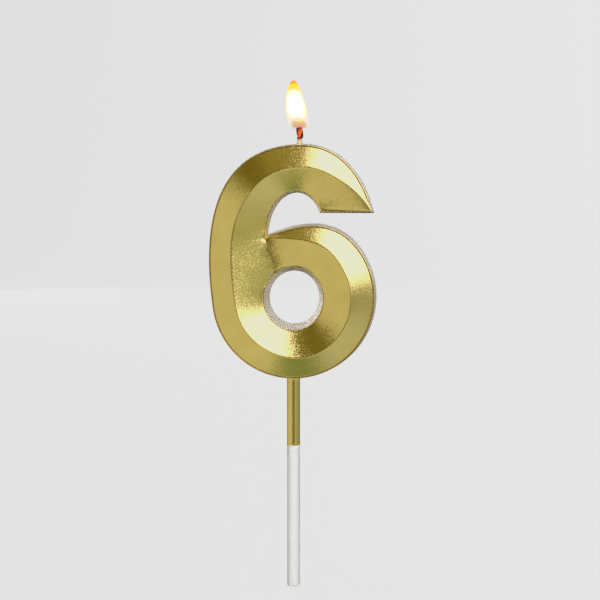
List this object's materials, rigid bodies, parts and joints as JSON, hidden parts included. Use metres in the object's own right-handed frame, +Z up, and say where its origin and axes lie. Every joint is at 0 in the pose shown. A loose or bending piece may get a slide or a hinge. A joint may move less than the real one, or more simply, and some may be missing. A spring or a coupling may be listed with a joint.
{
  "type": "number birthday candle",
  "caption": "Numeral 6 birthday candle of cast wax with a faceted gold front face, a cotton wick at its top and a round stick that pushes into a cake.",
  "frame": {"origin": "centre of the stick's lower end, on the stick's axis", "axes": "+Z up along the stick, +X to the reader's right when the number is read from the front, -Y out of the gold front face"},
  "size_m": [0.0513, 0.0135, 0.1395],
  "materials": {
    "wax": "cast paraffin wax, white, soft satin",
    "gold_coat": "satin metallic gold paint with a fine grain",
    "stick_white": "smooth white plastic, semi-gloss",
    "priming_wax": "thin cream wax soaked into the wick",
    "wick_cotton": "twisted cotton, charred at the top"
  },
  "bodies": {
    "root": {"wax_body": "wax", "gold_face_coat": "gold_coat", "stick": "stick_white", "stick_gold_coat": "gold_coat", "wick_wax_coat": "priming_wax", "wick_yarn_1": "wick_cotton", "wick_yarn_2": "wick_cotton", "wick_yarn_3": "wick_cotton"}
  },
  "joints": []
}
